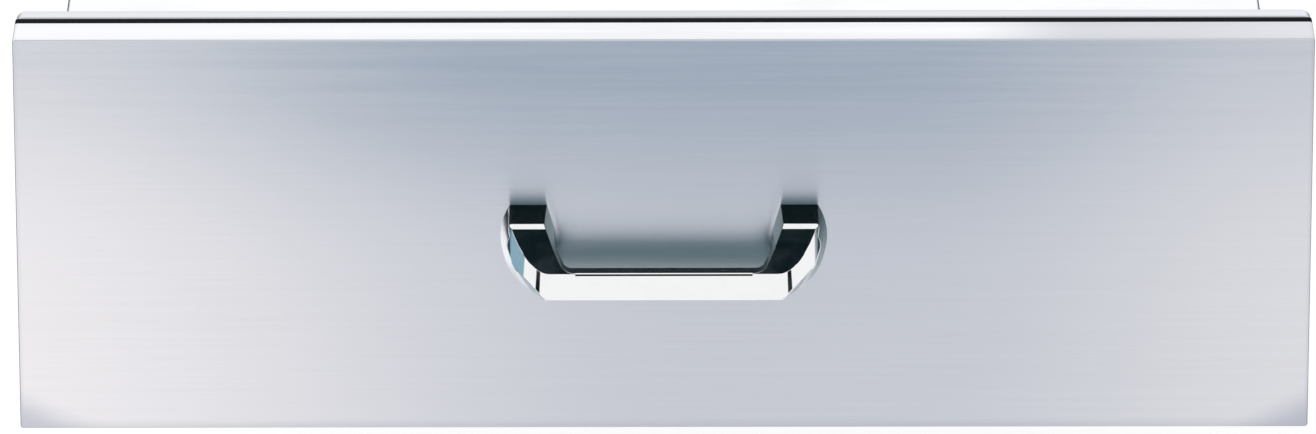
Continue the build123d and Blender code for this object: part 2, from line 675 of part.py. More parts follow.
for name, sign in (("left", -1), ("right", 1)):
    turn_in = Side.RIGHT if sign > 0 else Side.LEFT
    turn_out = Side.LEFT if sign > 0 else Side.RIGHT
    lip = outer_half - slide_outer_lip
    with BuildPart() as slide_outer:
        path = [
            (slide_outer_reach, lip),
            (slide_outer_reach, outer_half),
            (0, outer_half),
            (0, -outer_half),
            (slide_outer_reach, -outer_half),
            (slide_outer_reach, -lip),
        ]
        extrude(slide_section(sign, path, slide_sheet, turn_in), amount=-slide_length)
        holes = discs(along(sign * inner_half), slide_rivets, rivet_hole)
        extrude(holes, amount=-sign * slide_sheet, mode=Mode.SUBTRACT)
    save(slide_outer, f"slide_outer_{name}")

    with BuildPart() as slide_middle:
        path = [
            (slide_middle_reach, middle_half),
            (middle_start, middle_half),
            (middle_start, -middle_half),
            (slide_middle_reach, -middle_half),
        ]
        extrude(slide_section(sign, path, slide_sheet, turn_in), amount=-slide_length)
    save(slide_middle, f"slide_middle_{name}")

    with BuildPart() as slide_inner:
        path = [
            (slide_thickness - slide_inner_reach, inner_half_height),
            (slide_thickness, inner_half_height),
            (slide_thickness, -inner_half_height),
            (slide_thickness - slide_inner_reach, -inner_half_height),
        ]
        extrude(slide_section(sign, path, slide_sheet, turn_out), amount=-slide_length)
        holes = discs(along(sign * box_half), box_screws, screw_hole)
        extrude(holes, amount=sign * slide_sheet, mode=Mode.SUBTRACT)
    save(slide_inner, f"slide_inner_{name}")

    rows = (
        ("outer", cage_outer_reach, ball_outer_reach, outer_ball_level, outer_cage_start),
        ("inner", cage_inner_reach, ball_inner_reach, inner_ball_level, inner_cage_start),
    )
    for row, cage_reach, ball_reach, level, start in rows:
        centres = ball_centres(sign, ball_reach)
        with BuildPart() as ball_cage:
            extrude(cage(sign, cage_reach, level, start), amount=-cage_length)
            pocket = discs(Plane.XY.offset(slide_centre_z), centres, 2 * (ball_radius + ball_pocket_play))
            extrude(pocket, amount=slide_height / 2, both=True, mode=Mode.SUBTRACT)
        save(ball_cage, f"cage_{row}_{name}")
        with BuildPart() as balls:
            for height in (-level, level):
                with Locations(*[(x, y, slide_centre_z + height) for x, y in centres]):
                    Sphere(ball_radius)
        save(balls, f"balls_{row}_{name}")

    # pan-head screws from inside the box into the inner member
    with BuildPart() as slide_screws:
        seat = Plane(origin=(sign * box_inner_half, 0, 0), x_dir=(0, -sign, 0), z_dir=(-sign, 0, 0))
        points = [(-sign * y, z) for y, z in box_screws]
        grip = sheet + slide_sheet
        add(screws(seat, points, grip))
    save(slide_screws, f"slide_screws_{name}")

    # rubber buffer at the back of the outer member, which the middle member meets when shut
    with BuildPart() as end_buffer:
        with BuildSketch(along(sign * inner_half)):
            with Locations((slide_back_y + buffer_gap + buffer_length / 2, slide_centre_z)):
                RectangleRounded(buffer_length, buffer_height, bend)
        extrude(amount=-sign * slide_middle_reach)
    save(end_buffer, f"end_buffer_{name}")

    # release lever on the inner member, tilting on its pin
    lever_front_y = slide_front_y + lever_setback
    pivot_y = lever_front_y + lever_length - lever_pivot_inset
    lever_x = sign * (box_half + slide_sheet + lever_side_gap)
    with BuildPart() as release_lever:
        with BuildSketch(along(lever_x)):
            with Locations((lever_front_y + lever_length / 2, slide_centre_z)):
                SlotOverall(lever_length, lever_height)
        extrude(amount=sign * lever_thickness)
        bore = discs(along(lever_x), [(pivot_y, slide_centre_z)], 2 * (lever_pin_radius + lever_pin_play))
        extrude(bore, amount=sign * lever_thickness, mode=Mode.SUBTRACT)
        with BuildSketch(along(lever_x)):
            with Locations((lever_front_y + lever_height / 2, slide_centre_z)):
                Circle(lever_height / 2)
        extrude(amount=sign * (lever_thickness + lever_side_gap))
    save(release_lever, f"release_lever_{name}")

    with BuildPart() as lever_pin:
        pin_start = sign * (box_half + slide_sheet)
        pin = discs(along(pin_start), [(pivot_y, slide_centre_z)], 2 * lever_pin_radius)
        extrude(pin, amount=sign * (lever_side_gap + lever_thickness + slide_gap))
        head_start = pin_start + sign * (lever_side_gap + lever_thickness + slide_gap)
        head = discs(along(head_start), [(pivot_y, slide_centre_z)], 2 * lever_pin_head_radius)
        extrude(head, amount=sign * lever_pin_head_height)
    save(lever_pin, f"lever_pin_{name}")
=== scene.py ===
import json
import logging
import math
from collections.abc import Mapping, Sequence
from dataclasses import dataclass, field
from enum import Enum
from typing import Protocol

import bmesh
import bpy
from mathutils import Matrix, Vector

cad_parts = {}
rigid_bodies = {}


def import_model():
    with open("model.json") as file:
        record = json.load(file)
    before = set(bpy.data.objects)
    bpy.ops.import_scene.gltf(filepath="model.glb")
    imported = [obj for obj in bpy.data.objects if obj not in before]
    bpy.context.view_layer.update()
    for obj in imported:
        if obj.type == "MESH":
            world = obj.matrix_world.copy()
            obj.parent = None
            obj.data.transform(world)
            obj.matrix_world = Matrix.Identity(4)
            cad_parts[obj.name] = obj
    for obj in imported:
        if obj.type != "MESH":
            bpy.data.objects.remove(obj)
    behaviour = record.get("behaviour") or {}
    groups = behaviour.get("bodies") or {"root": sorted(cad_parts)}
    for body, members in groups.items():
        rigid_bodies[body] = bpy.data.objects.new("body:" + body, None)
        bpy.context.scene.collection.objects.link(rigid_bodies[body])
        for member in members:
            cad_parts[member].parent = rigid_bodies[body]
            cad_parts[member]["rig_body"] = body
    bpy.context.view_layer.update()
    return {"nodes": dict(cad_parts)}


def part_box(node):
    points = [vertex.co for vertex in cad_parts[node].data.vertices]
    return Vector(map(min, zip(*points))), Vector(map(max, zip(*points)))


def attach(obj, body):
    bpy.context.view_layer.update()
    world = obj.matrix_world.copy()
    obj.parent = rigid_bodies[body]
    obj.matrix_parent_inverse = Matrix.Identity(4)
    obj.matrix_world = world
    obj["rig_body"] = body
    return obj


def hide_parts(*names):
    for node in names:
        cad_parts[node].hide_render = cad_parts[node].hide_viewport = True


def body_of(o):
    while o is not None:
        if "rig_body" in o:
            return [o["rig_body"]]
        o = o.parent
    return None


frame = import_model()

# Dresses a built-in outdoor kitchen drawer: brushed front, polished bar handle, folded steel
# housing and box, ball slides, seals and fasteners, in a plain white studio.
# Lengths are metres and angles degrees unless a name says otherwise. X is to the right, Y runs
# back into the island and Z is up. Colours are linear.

LOG = logging.getLogger("outdoor_kitchen_drawer")

Colour = tuple[float, float, float]
Point = tuple[float, float, float]
Span = tuple[float, float]
MM = 0.001
NEAR_BLACK: Colour = (0.004, 0.010, 0.012)


class Blend(Enum):
    """How one colour is laid over another."""

    MIX = "MIX"
    MULTIPLY = "MULTIPLY"


class Coordinates(Enum):
    """What X, Y and Z mean to a shader: a place on the object, or a direction in the world."""

    PLACE = "Object"
    DIRECTION = "Generated"


@dataclass(frozen=True)
class Pattern:
    """Soft noise fixed to the object.

    Its stretch is its repeats to the metre along X, Y and Z, its detail the number of finer octaves
    and its roughness the share that each of them keeps. A shift sets two patterns apart.
    """

    stretch: Point
    detail: float = 2.0
    roughness: float = 0.5
    shift: Point = (0.0, 0.0, 0.0)


class Term:
    """A number inside a shader, which takes part in Python arithmetic."""

    def __init__(self, graph: "Graph", socket: bpy.types.NodeSocket) -> None:
        """Wrap an output socket of one of a graph's nodes."""
        self.graph = graph
        self.socket = socket

    def __add__(self, other: "Term | float") -> "Term":
        """Sum with a term or a number."""
        return self.graph.maths("ADD", self, other)

    __radd__ = __add__

    def __sub__(self, other: "Term | float") -> "Term":
        """Difference from a term or a number."""
        return self.graph.maths("SUBTRACT", self, other)

    def __rsub__(self, other: float) -> "Term":
        """A number less this term."""
        return self.graph.maths("SUBTRACT", other, self)

    def __mul__(self, other: "Term | float") -> "Term":
        """Product with a term or a number."""
        return self.graph.maths("MULTIPLY", self, other)

    __rmul__ = __mul__

    def __truediv__(self, other: "Term | float") -> "Term":
        """Quotient by a term or a number."""
        return self.graph.maths("DIVIDE", self, other)

    def __neg__(self) -> "Term":
        """This term with its sign turned."""
        return self.graph.maths("MULTIPLY", self, -1.0)

    def __abs__(self) -> "Term":
        """Size of this term without its sign."""
        return self.graph.maths("ABSOLUTE", self)

    def rise(self, low: float, high: float) -> "Term":
        """Go smoothly from 0 at low to 1 at high.

        Args:
            low: Value where the result is 0.
            high: Value where the result is 1.

        Returns:
            The smooth step of this term.
        """
        node = self.graph.node(
            "ShaderNodeMapRange",
            {"interpolation_type": "SMOOTHSTEP", "clamp": True},
            {"Value": self, "From Min": low, "From Max": high},
        )
        return Term(self.graph, node.outputs["Result"])

    def fall(self, low: float, high: float) -> "Term":
        """Go smoothly from 1 at low to 0 at high."""
        return 1.0 - self.rise(low, high)

    def sway(self, amount: float) -> "Term":
        """Turn noise from 0 to 1 into a change of up to half an amount to either side."""
        return (self - 0.5) * amount


class Graph:
    """The nodes of one material or world."""

    def __init__(self, tree: bpy.types.NodeTree) -> None:
        """Take over a node tree and empty it."""
        tree.nodes.clear()
        self.tree = tree

    def node(
        self,
        kind: str,
        settings: Mapping[str, object] | None = None,
        values: Mapping[str | int, object] | None = None,
    ) -> bpy.types.Node:
        """Add a node.

        Args:
            kind: Blender's name for the node's type.
            settings: The node's own properties, set first.
            values: Numbers, colours, terms or sockets for its inputs, by name or number.

        Returns:
            The new node.
        """
        node = self.tree.nodes.new(kind)
        for name, value in (settings or {}).items():
            setattr(node, name, value)
        for name, value in (values or {}).items():
            source = value.socket if isinstance(value, Term) else value
            if isinstance(source, bpy.types.NodeSocket):
                self.tree.links.new(source, node.inputs[name])
            else:
                node.inputs[name].default_value = source
        return node

    def maths(self, operation: str, first: Term | float, second: Term | float = 0.0) -> Term:
        """Add a Math node on one or two numbers, as its operation takes."""
        node = self.node("ShaderNodeMath", {"operation": operation}, {0: first, 1: second})
        return Term(self, node.outputs[0])

    def vector_maths(self, operation: str, first: object, second: object) -> bpy.types.NodeSocket:
        """Add a Vector Math node on two vectors or sockets."""
        node = self.node("ShaderNodeVectorMath", {"operation": operation}, {0: first, 1: second})
        return node.outputs["Vector"]

    def mix(
        self, factor: Term | float, low: object, high: object, blend: Blend = Blend.MIX
    ) -> bpy.types.NodeSocket:
        """Mix two colours.

        Args:
            factor: Share of the second colour.
            low: First colour or socket.
            high: Second colour or socket.
            blend: How the second colour is laid over the first.

        Returns:
            The mixed colour.
        """
        settings = {"data_type": "RGBA", "blend_type": blend.value}
        colours = [(*value, 1.0) if isinstance(value, tuple) else value for value in (low, high)]
        node = self.node("ShaderNodeMix", settings, {0: factor, 6: colours[0], 7: colours[1]})
        return node.outputs[2]

    def sweep(
        self, along: Term, colours: Sequence[object], joins: Sequence[Span]
    ) -> bpy.types.NodeSocket:
        """Pass through colours in order.

        Args:
            along: What the colours change with.
            colours: The colours or sockets, in order.
            joins: The span of each passage from one colour to the next.

        Returns:
            The colour that comes out.
        """
        mixed = colours[0]
        for colour, join in zip(colours[1:], joins, strict=True):
            mixed = self.mix(along.rise(*join), mixed, colour)
        return mixed

    def axes(self, meaning: Coordinates = Coordinates.PLACE) -> tuple[Term, Term, Term]:
        """Split a place or a direction into numbers.

        Args:
            meaning: Which of the two is wanted.

        Returns:
            Its X, Y and Z.
        """
        vector = self.node("ShaderNodeTexCoord").outputs[meaning.value]
        x, y, z = self.node("ShaderNodeSeparateXYZ", None, {0: vector}).outputs
        return Term(self, x), Term(self, y), Term(self, z)

    def noise(self, pattern: Pattern) -> Term:
        """Add a pattern's noise.

        Args:
            pattern: The pattern.

        Returns:
            Numbers from 0 to 1, mostly near a half.
        """
        place = self.node("ShaderNodeTexCoord").outputs[Coordinates.PLACE.value]
        place = self.vector_maths("MULTIPLY", place, pattern.stretch)
        values = {
            "Vector": self.vector_maths("ADD", place, pattern.shift),
            "Scale": 1.0,
            "Detail": pattern.detail,
            "Roughness": pattern.roughness,
        }
        node = self.node("ShaderNodeTexNoise", {"noise_dimensions": "3D"}, values)
        return Term(self, node.outputs["Fac"])

    def bump(self, height: Term, depth: float) -> bpy.types.NodeSocket:
        """Turn a height, as a share of a depth in metres, into a normal."""
        values = {"Height": height, "Distance": depth, "Strength": 1.0}
        return self.node("ShaderNodeBump", None, values).outputs["Normal"]

    def metal(self, values: Mapping[str, object]) -> bpy.types.NodeSocket:
        """Make a bare metal shader of a colour, a roughness and whatever else is given."""
        return self.node("ShaderNodeBsdfPrincipled", None, {"Metallic": 1.0, **values}).outputs[0]

    def layer(
        self, share: object, under: bpy.types.NodeSocket, over: bpy.types.NodeSocket
    ) -> bpy.types.NodeSocket:
        """Lay a second shader over a first one, by the share that a term or socket gives."""
        return self.node("ShaderNodeMixShader", None, {0: share, 1: under, 2: over}).outputs[0]

    def clear_where(self, share: object, shader: bpy.types.NodeSocket) -> bpy.types.NodeSocket:
        """Let a shader be seen through, where a term or socket is 1."""
        return self.layer(share, shader, self.node("ShaderNodeBsdfTransparent").outputs[0])

    def glow(self, colour: object, strength: float = 1.0) -> bpy.types.NodeSocket:
        """Make a shader that gives off light."""
        values = {"Color": colour, "Strength": strength}
        return self.node("ShaderNodeEmission", None, values).outputs[0]


def new_material(name: str) -> tuple[bpy.types.Material, Graph]:
    """Make an empty material.

    Args:
        name: The material's name.

    Returns:
        The material and the graph of its nodes.
    """
    material = bpy.data.materials.new(name)
    material.use_nodes = True
    return material, Graph(material.node_tree)


def finish_with(graph: Graph, shader: bpy.types.NodeSocket) -> None:
    """Send a shader to a material's output."""
    graph.node("ShaderNodeOutputMaterial", None, {"Surface": shader})


def tinted(colour: Colour, share: float, lift: float = 0.0) -> Colour:
    """Give a colour a share of its strength, and then a little more."""
    red, green, blue = (share * part + lift for part in colour)
    return red, green, blue


class Finish(Protocol):
    """Anything that can make a material."""

    def material(self, name: str) -> bpy.types.Material:
        """Make the finish as a material of that name."""


@dataclass(frozen=True)
class PaintedEdgeShade:
    """Painted shade on the face: a darker, bluish colour at its two lower corners, along its lower
    edge and along its side edges, standing in for darker reflections there.
    """

    colour: Colour = (0.66, 0.69, 0.75)
    corner_width: float = 44.0 * MM
    corner_height: float = 22.0 * MM
    corner_fade: Span = (0.1, 1.35)
    lower_fade: Span = (0.0, 0.3)
    lower_share: float = 0.4
    side_fade: Span = (0.0, 0.07)
    side_share: float = 0.35

    def share(self, graph: Graph) -> Term:
        """Find how much painted shade a place takes.

        Args:
            graph: The material's graph.

        Returns:
            1 at a lower corner and less on the edges, falling to 0 a little way in.
        """
        low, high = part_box("front_skin")
        x, _, z = graph.axes()
        inwards = (high[0] - abs(x)) / self.corner_width
        upwards = (z - low[2]) / self.corner_height
        corner = (inwards + upwards).fall(*self.corner_fade)
        rim = upwards.fall(*self.lower_fade) * self.lower_share
        rim = rim + inwards.fall(*self.side_fade) * self.side_share
        return corner + (1.0 - corner) * rim


@dataclass(frozen=True)
class BrushedSteel:
    """Stainless sheet with a straight fine grain along X, which blurs reflections across it."""

    colour: Colour = (0.72, 0.735, 0.755)
    roughness: float = 0.24
    anisotropy: float = 0.85
    grain_turn: float = 0.25
    streaks: Pattern = Pattern((14.0, 840.0, 840.0), detail=4.0, roughness=0.7)
    broad_streaks: Pattern = Pattern((4.2, 252.0, 252.0), detail=3.0, shift=(3.0, 7.0, 1.0))
    clouds: Pattern = Pattern((4.0, 9.0, 22.0), detail=3.0, roughness=0.55, shift=(5.0, 0.0, 2.0))
    streak_tone: float = 0.06
    cloud_tone: float = 0.05
    streak_blur: float = 0.08
    cloud_blur: float = 0.06
    groove_depth: float = 0.0015 * MM
    # Painted shade for the face's lower corners and edges, darkening its base colour.
    painted_edge_shade: PaintedEdgeShade | None = None

    def material(self, name: str) -> bpy.types.Material:
        """Make the brushed steel.

        Args:
            name: The material's name.

        Returns:
            The material.
        """
        material, graph = new_material(name)
        fine, broad, cloud = map(graph.noise, (self.streaks, self.broad_streaks, self.clouds))
        tone = 1.0 + fine.sway(self.streak_tone) + broad.sway(self.streak_tone)
        tone = tone + cloud.sway(self.cloud_tone)
        blur = self.roughness + broad.sway(self.streak_blur) + cloud.sway(self.cloud_blur)
        grey = graph.node("ShaderNodeCombineColor", None, {0: tone, 1: tone, 2: tone}).outputs[0]
        colour = graph.mix(1.0, self.colour, grey, Blend.MULTIPLY)
        # Painted shade: the base colour is darkened and tinted blue at the face's lower corners and
        # edges.
        if self.painted_edge_shade:
            share = self.painted_edge_shade.share(graph)
            colour = graph.mix(share, colour, self.painted_edge_shade.colour, Blend.MULTIPLY)
        steel = graph.metal(
            {
                "Base Color": colour,
                "Roughness": blur,
                "Anisotropic": self.anisotropy,
                "Anisotropic Rotation": self.grain_turn,
                "Normal": graph.bump(fine, self.groove_depth),
            }
        )
        finish_with(graph, steel)
        return material


@dataclass(frozen=True)
class MilledSteel:
    """Folded stainless sheet as it left the mill: a soft even sheen with faint rolling marks."""

    colour: Colour = (0.66, 0.67, 0.68)
    roughness: float = 0.34
    rolling_marks: Pattern = Pattern((9.0, 260.0, 260.0), detail=3.0, roughness=0.6)
    clouds: Pattern = Pattern((7.0, 7.0, 7.0), detail=4.0, roughness=0.6, shift=(1.0, 4.0, 9.0))
    specks: Pattern = Pattern((900.0, 900.0, 900.0), detail=1.0)
    cloud_fade: Span = (0.3, 0.7)
    cloud_share: float = 0.94
    cloud_blur: float = 0.16
    rolling_blur: float = 0.08
    speck_blur: float = 0.05
    ripple_depth: float = 0.02 * MM

    def material(self, name: str) -> bpy.types.Material:
        """Make the mill finish.

        Args:
            name: The material's name.

        Returns:
            The material.
        """
        material, graph = new_material(name)
        rolling, cloud, speck = map(graph.noise, (self.rolling_marks, self.clouds, self.specks))
        blur = self.roughness + cloud.sway(self.cloud_blur) + rolling.sway(self.rolling_blur)
        shade = tinted(self.colour, self.cloud_share)
        steel = graph.metal(
            {
                "Base Color": graph.mix(cloud.rise(*self.cloud_fade), self.colour, shade),
                "Roughness": blur + speck.sway(self.speck_blur),
                "Normal": graph.bump(cloud, self.ripple_depth),
            }
        )
        finish_with(graph, steel)
        return material


@dataclass(frozen=True)
class PolishedChrome:
    """Mirror chrome plate with the faint haze of wiping."""

    colour: Colour = (0.95, 0.955, 0.96)
    haze: float = 0.05
    haze_roughness: float = 0.22
    wipes: Pattern = Pattern((60.0, 40.0, 90.0), detail=4.0, roughness=0.65)
    shade_fade: Span = (0.35, 0.75)
    shade_share: float = 0.98
    haze_fade: Span = (0.35, 0.8)

    def material(self, name: str) -> bpy.types.Material:
        """Make the chrome plate.

        Args:
            name: The material's name.

        Returns:
            The material.
        """
        material, graph = new_material(name)
        wiping = graph.noise(self.wipes)
        shade = tinted(self.colour, self.shade_share)
        colour = graph.mix(wiping.rise(*self.shade_fade), self.colour, shade)
        mirror = graph.metal({"Base Color": colour, "Roughness": 0.0})
        hazy = graph.metal({"Base Color": colour, "Roughness": self.haze_roughness})
        share = wiping.rise(*self.haze_fade) * self.haze
        finish_with(graph, graph.layer(share, mirror, hazy))
        return material


@dataclass(frozen=True)
class ZincPlate:
    """Bright zinc on pressed steel, clouded from blue to a warmer grey."""

    colour: Colour = (0.62, 0.64, 0.68)
    warmth: Colour = (1.02, 0.98, 0.88)
    roughness: float = 0.3
    clouds: Pattern = Pattern((40.0, 25.0, 40.0), detail=4.0, roughness=0.6)
    grit: Pattern = Pattern((1500.0, 1500.0, 1500.0), detail=1.0)
    cloud_fade: Span = (0.35, 0.7)
    cloud_blur: float = 0.2
    grit_blur: float = 0.08
    grit_depth: float = 0.004 * MM

    def material(self, name: str) -> bpy.types.Material:
        """Make the zinc plate.

        Args:
            name: The material's name.

        Returns:
            The material.
        """
        material, graph = new_material(name)
        cloud, grit = map(graph.noise, (self.clouds, self.grit))
        warm = tuple(part * share for part, share in zip(self.colour, self.warmth))
        blur = self.roughness + cloud.sway(self.cloud_blur) + grit.sway(self.grit_blur)
        plate = graph.metal(
            {
                "Base Color": graph.mix(cloud.rise(*self.cloud_fade), self.colour, warm),
                "Roughness": blur,
                "Normal": graph.bump(grit, self.grit_depth),
            }
        )
        finish_with(graph, plate)
        return material


@dataclass(frozen=True)
class Moulded:
    """Rubber or plastic with a fine moulded skin and a little dust in soft patches."""

    colour: Colour
    roughness: float
    skin_per_metre: float
    skin_depth: float
    gloss: float = 0.5
    skin_roughness: float = 0.6
    dust: Pattern = Pattern((45.0, 45.0, 45.0), detail=5.0, roughness=0.65, shift=(2.0, 8.0, 4.0))
    dust_fade: Span = (0.45, 0.8)
    dust_share: float = 1.5
    dust_lift: float = 0.002
    dust_blur: float = 0.18
    skin_blur: float = 0.1

    def material(self, name: str) -> bpy.types.Material:
        """Make the moulded finish.

        Args:
            name: The material's name.

        Returns:
            The material.
        """
        material, graph = new_material(name)
        skin = graph.noise(Pattern((self.skin_per_metre,) * 3, roughness=self.skin_roughness))
        dust = graph.noise(self.dust)
        dusty = tinted(self.colour, self.dust_share, self.dust_lift)
        values = {
            "Base Color": graph.mix(dust.rise(*self.dust_fade), self.colour, dusty),
            "Roughness": self.roughness + dust.sway(self.dust_blur) + skin.sway(self.skin_blur),
            "Specular IOR Level": self.gloss,
            "Normal": graph.bump(skin, self.skin_depth),
        }
        finish_with(graph, graph.node("ShaderNodeBsdfPrincipled", None, values).outputs[0])
        return material


class Palette:
    """The drawer's finishes, each made once."""

    FINISHES: dict[str, Finish] = {
        # The brushed front carries painted shade at its lower corners and edges.
        "brushed_front": BrushedSteel(painted_edge_shade=PaintedEdgeShade()),
        "flange_steel": BrushedSteel(colour=(0.47, 0.48, 0.51), roughness=0.3, anisotropy=0.6),
        "folded_steel": MilledSteel(),
        "polished_handle": PolishedChrome(),
        "gasket_rubber": Moulded(
            colour=(0.002, 0.003, 0.004),
            roughness=0.85,
            skin_per_metre=700.0,
            skin_depth=0.03 * MM,
            gloss=0.06,
        ),
        "buffer_rubber": Moulded(
            colour=(0.02, 0.02, 0.02),
            roughness=0.65,
            skin_per_metre=500.0,
            skin_depth=0.03 * MM,
        ),
        "lever_plastic": Moulded(
            colour=(0.012, 0.012, 0.013),
            roughness=0.42,
            skin_per_metre=1200.0,
            skin_depth=0.02 * MM,
        ),
        "plug_plastic": Moulded(
            colour=(0.3, 0.31, 0.32),
            roughness=0.48,
            skin_per_metre=1200.0,
            skin_depth=0.02 * MM,
        ),
        "bearing_steel": PolishedChrome(colour=(0.72, 0.73, 0.75), haze=0.3),
        "zinc_plated_steel": ZincPlate(),
        "stainless_fasteners": MilledSteel(colour=(0.64, 0.65, 0.66), roughness=0.28),
    }

    def __init__(self) -> None:
        """Start with no material made."""
        self._made: dict[str, bpy.types.Material] = {}

    def material(self, slot: str) -> bpy.types.Material:
        """Give the material of one of the record's slots.

        Args:
            slot: The slot's name.

        Returns:
            The material, made on first use.
        """
        if slot not in self._made:
            self._made[slot] = self.FINISHES[slot].material(slot)
        return self._made[slot]


def object_from(mesh: bmesh.types.BMesh, name: str) -> bpy.types.Object:
    """Turn a finished mesh into an object of the scene.

    Args:
        mesh: The mesh, freed here.
        name: The object's name.

    Returns:
        The object.
    """
    data = bpy.data.meshes.new(name)
    mesh.to_mesh(data)
    mesh.free()
    made = bpy.data.objects.new(name, data)
    bpy.context.scene.collection.objects.link(made)
    return made


def flat_quad(name: str, points: Sequence[Point]) -> bpy.types.Object:
    """Make one flat four-cornered sheet.

    Args:
        name: The object's name.
        points: Its corners, in order.

    Returns:
        The sheet.
    """
    mesh = bmesh.new()
    mesh.faces.new([mesh.verts.new(point) for point in points])
    return object_from(mesh, name)


@dataclass(frozen=True)
class PhotoCamera:
    """Camera that looks down on the face as the photograph does."""

    image_width: int = 1316
    pixel: float = 0.5884 * MM
    pitch: float = 21.0
    roll: float = 0.08
    distance: float = 6.9
    sensor: float = 36.0
    aim_right: float = -5.8
    aim_up: float = 17.5
    farthest: float = 200.0

    def build(self) -> bpy.types.Object:
        """Stand the camera before the drawer.

        Returns:
            The camera.
        """
        pitch, roll = math.radians(self.pitch), math.radians(self.roll)
        forward = Vector((0.0, math.cos(pitch), -math.sin(pitch)))
        level = Vector((1.0, 0.0, 0.0))
        right = level * math.cos(roll) - level.cross(forward) * math.sin(roll)
        up = right.cross(forward)
        aim = Vector((0.0, face_y(), 0.0))
        aim += up * self.aim_up * self.pixel + right * self.aim_right * self.pixel
        lens = bpy.data.cameras.new("camera")
        lens.sensor_width = self.sensor
        lens.lens = self.sensor * self.distance / (self.image_width * self.pixel)
        lens.clip_end = self.farthest
        camera = bpy.data.objects.new("camera", lens)
        camera.location = aim - forward * self.distance
        camera.rotation_euler = Matrix((right, up, -forward)).transposed().to_euler()
        bpy.context.scene.collection.objects.link(camera)
        bpy.context.scene.camera = camera
        return camera


@dataclass(frozen=True)
class Gaze:
    """Where mirrored light comes from.

    Elevation is degrees above the horizon, azimuth degrees to the right of straight ahead of the
    drawer, and side the same to either side. Before is 1 ahead of the drawer and 0 behind it, and
    again is 1 where the light met another surface on its way to the steel.
    """

    elevation: Term
    azimuth: Term
    side: Term
    before: Term
    again: Term


@dataclass(frozen=True)
class BrushedRoom:
    """Room as brushed and milled steel mirrors it.

    It is pale, with grey flanks, a bright backdrop behind and a dimmer sky in front, which is dark
    where one piece of steel mirrors another.
    """

    ground: Colour = (1.2, 1.2, 1.2)
    backdrop: Colour = (1.6, 1.6, 1.6)
    backdrop_sides: Span = (150.0, 162.0)
    backdrop_foot: Span = (-3.0, 6.0)
    backdrop_top: Span = (44.0, 58.0)
    wall_low: Colour = (0.52, 0.54, 0.57)
    wall_high: Colour = (0.86, 0.87, 0.89)
    wall_climb: Span = (-10.0, 60.0)
    flank: Colour = (0.12, 0.17, 0.20)
    flank_share: float = 0.8
    flank_start: Span = (45.0, 65.0)
    flank_end: Span = (95.0, 110.0)
    flank_top: Span = (10.0, 40.0)
    sky: Colour = (0.72, 0.74, 0.78)
    sky_again: Colour = NEAR_BLACK
    sky_foot: Span = (4.0, 16.0)
    sky_top: Span = (72.0, 84.0)
    sky_top_again: float = 30.0

    def colour(self, graph: Graph, gaze: Gaze) -> bpy.types.NodeSocket:
        """Colour the room.

        Args:
            graph: The world's graph.
            gaze: Where the light comes from.

        Returns:
            The room's colour.
        """
        backdrop = gaze.side.rise(*self.backdrop_sides) * gaze.elevation.rise(*self.backdrop_foot)
        backdrop = backdrop * gaze.elevation.fall(*self.backdrop_top)
        wall = graph.mix(gaze.elevation.rise(*self.wall_climb), self.wall_low, self.wall_high)
        room = graph.mix(gaze.before, graph.mix(backdrop, wall, self.backdrop), self.ground)
        flank = gaze.side.rise(*self.flank_start) * gaze.side.fall(*self.flank_end)
        flank = flank * gaze.elevation.fall(*self.flank_top)
        room = graph.mix(flank * self.flank_share, room, self.flank)
        sky_top = (gaze.elevation - gaze.again * self.sky_top_again).fall(*self.sky_top)
        sky = gaze.before * gaze.elevation.rise(*self.sky_foot) * sky_top
        return graph.mix(sky, room, graph.mix(gaze.again, self.sky, self.sky_again))


@dataclass(frozen=True)
class PolishedRoom:
    """Room as the polished handle mirrors it: white panels with dark gaps between them."""

    back: Colour = (1.2, 1.2, 1.2)
    front: Colour = (0.95, 0.95, 0.95)
    left_panel: Colour = (0.24, 0.40, 0.50)
    left_edge: Span = (-51.0, -48.0)
    right_panel: Colour = (0.30, 0.34, 0.38)
    right_edge: Span = (73.0, 77.0)
    gap: Colour = NEAR_BLACK
    gap_start: Span = (17.5, 19.0)
    gap_end: Span = (25.0, 26.5)
    gap_top: Span = (2.0, 7.0)
    flank: Colour = (0.02, 0.05, 0.06)
    flank_start: Span = (77.0, 81.0)
    flank_end: Span = (125.0, 140.0)
    flank_top: Span = (20.0, 40.0)
    sky: Colour = NEAR_BLACK
    sky_again: Colour = (0.03, 0.08, 0.10)
    sky_foot: Span = (2.0, 7.0)
    sky_foot_again: float = 14.0
    sky_top: Span = (60.0, 66.0)

    def colour(self, graph: Graph, gaze: Gaze) -> bpy.types.NodeSocket:
        """Colour the room.

        Args:
            graph: The world's graph.
            gaze: Where the light comes from.

        Returns:
            The room's colour.
        """
        room = graph.mix(gaze.before, self.back, self.front)
        room = graph.mix(gaze.azimuth.fall(*self.left_edge) * gaze.before, room, self.left_panel)
        room = graph.mix(gaze.azimuth.rise(*self.right_edge) * gaze.before, room, self.right_panel)
        gap = gaze.side.rise(*self.gap_start) * gaze.side.fall(*self.gap_end)
        room = graph.mix(gap * gaze.elevation.fall(*self.gap_top), room, self.gap)
        flank = gaze.side.rise(*self.flank_start) * gaze.side.fall(*self.flank_end)
        room = graph.mix(flank * gaze.elevation.fall(*self.flank_top), room, self.flank)
        foot = (gaze.elevation + gaze.again * self.sky_foot_again).rise(*self.sky_foot)
        sky = gaze.before * (foot * gaze.elevation.fall(*self.sky_top))
        return graph.mix(sky, room, graph.mix(gaze.again, self.sky, self.sky_again))


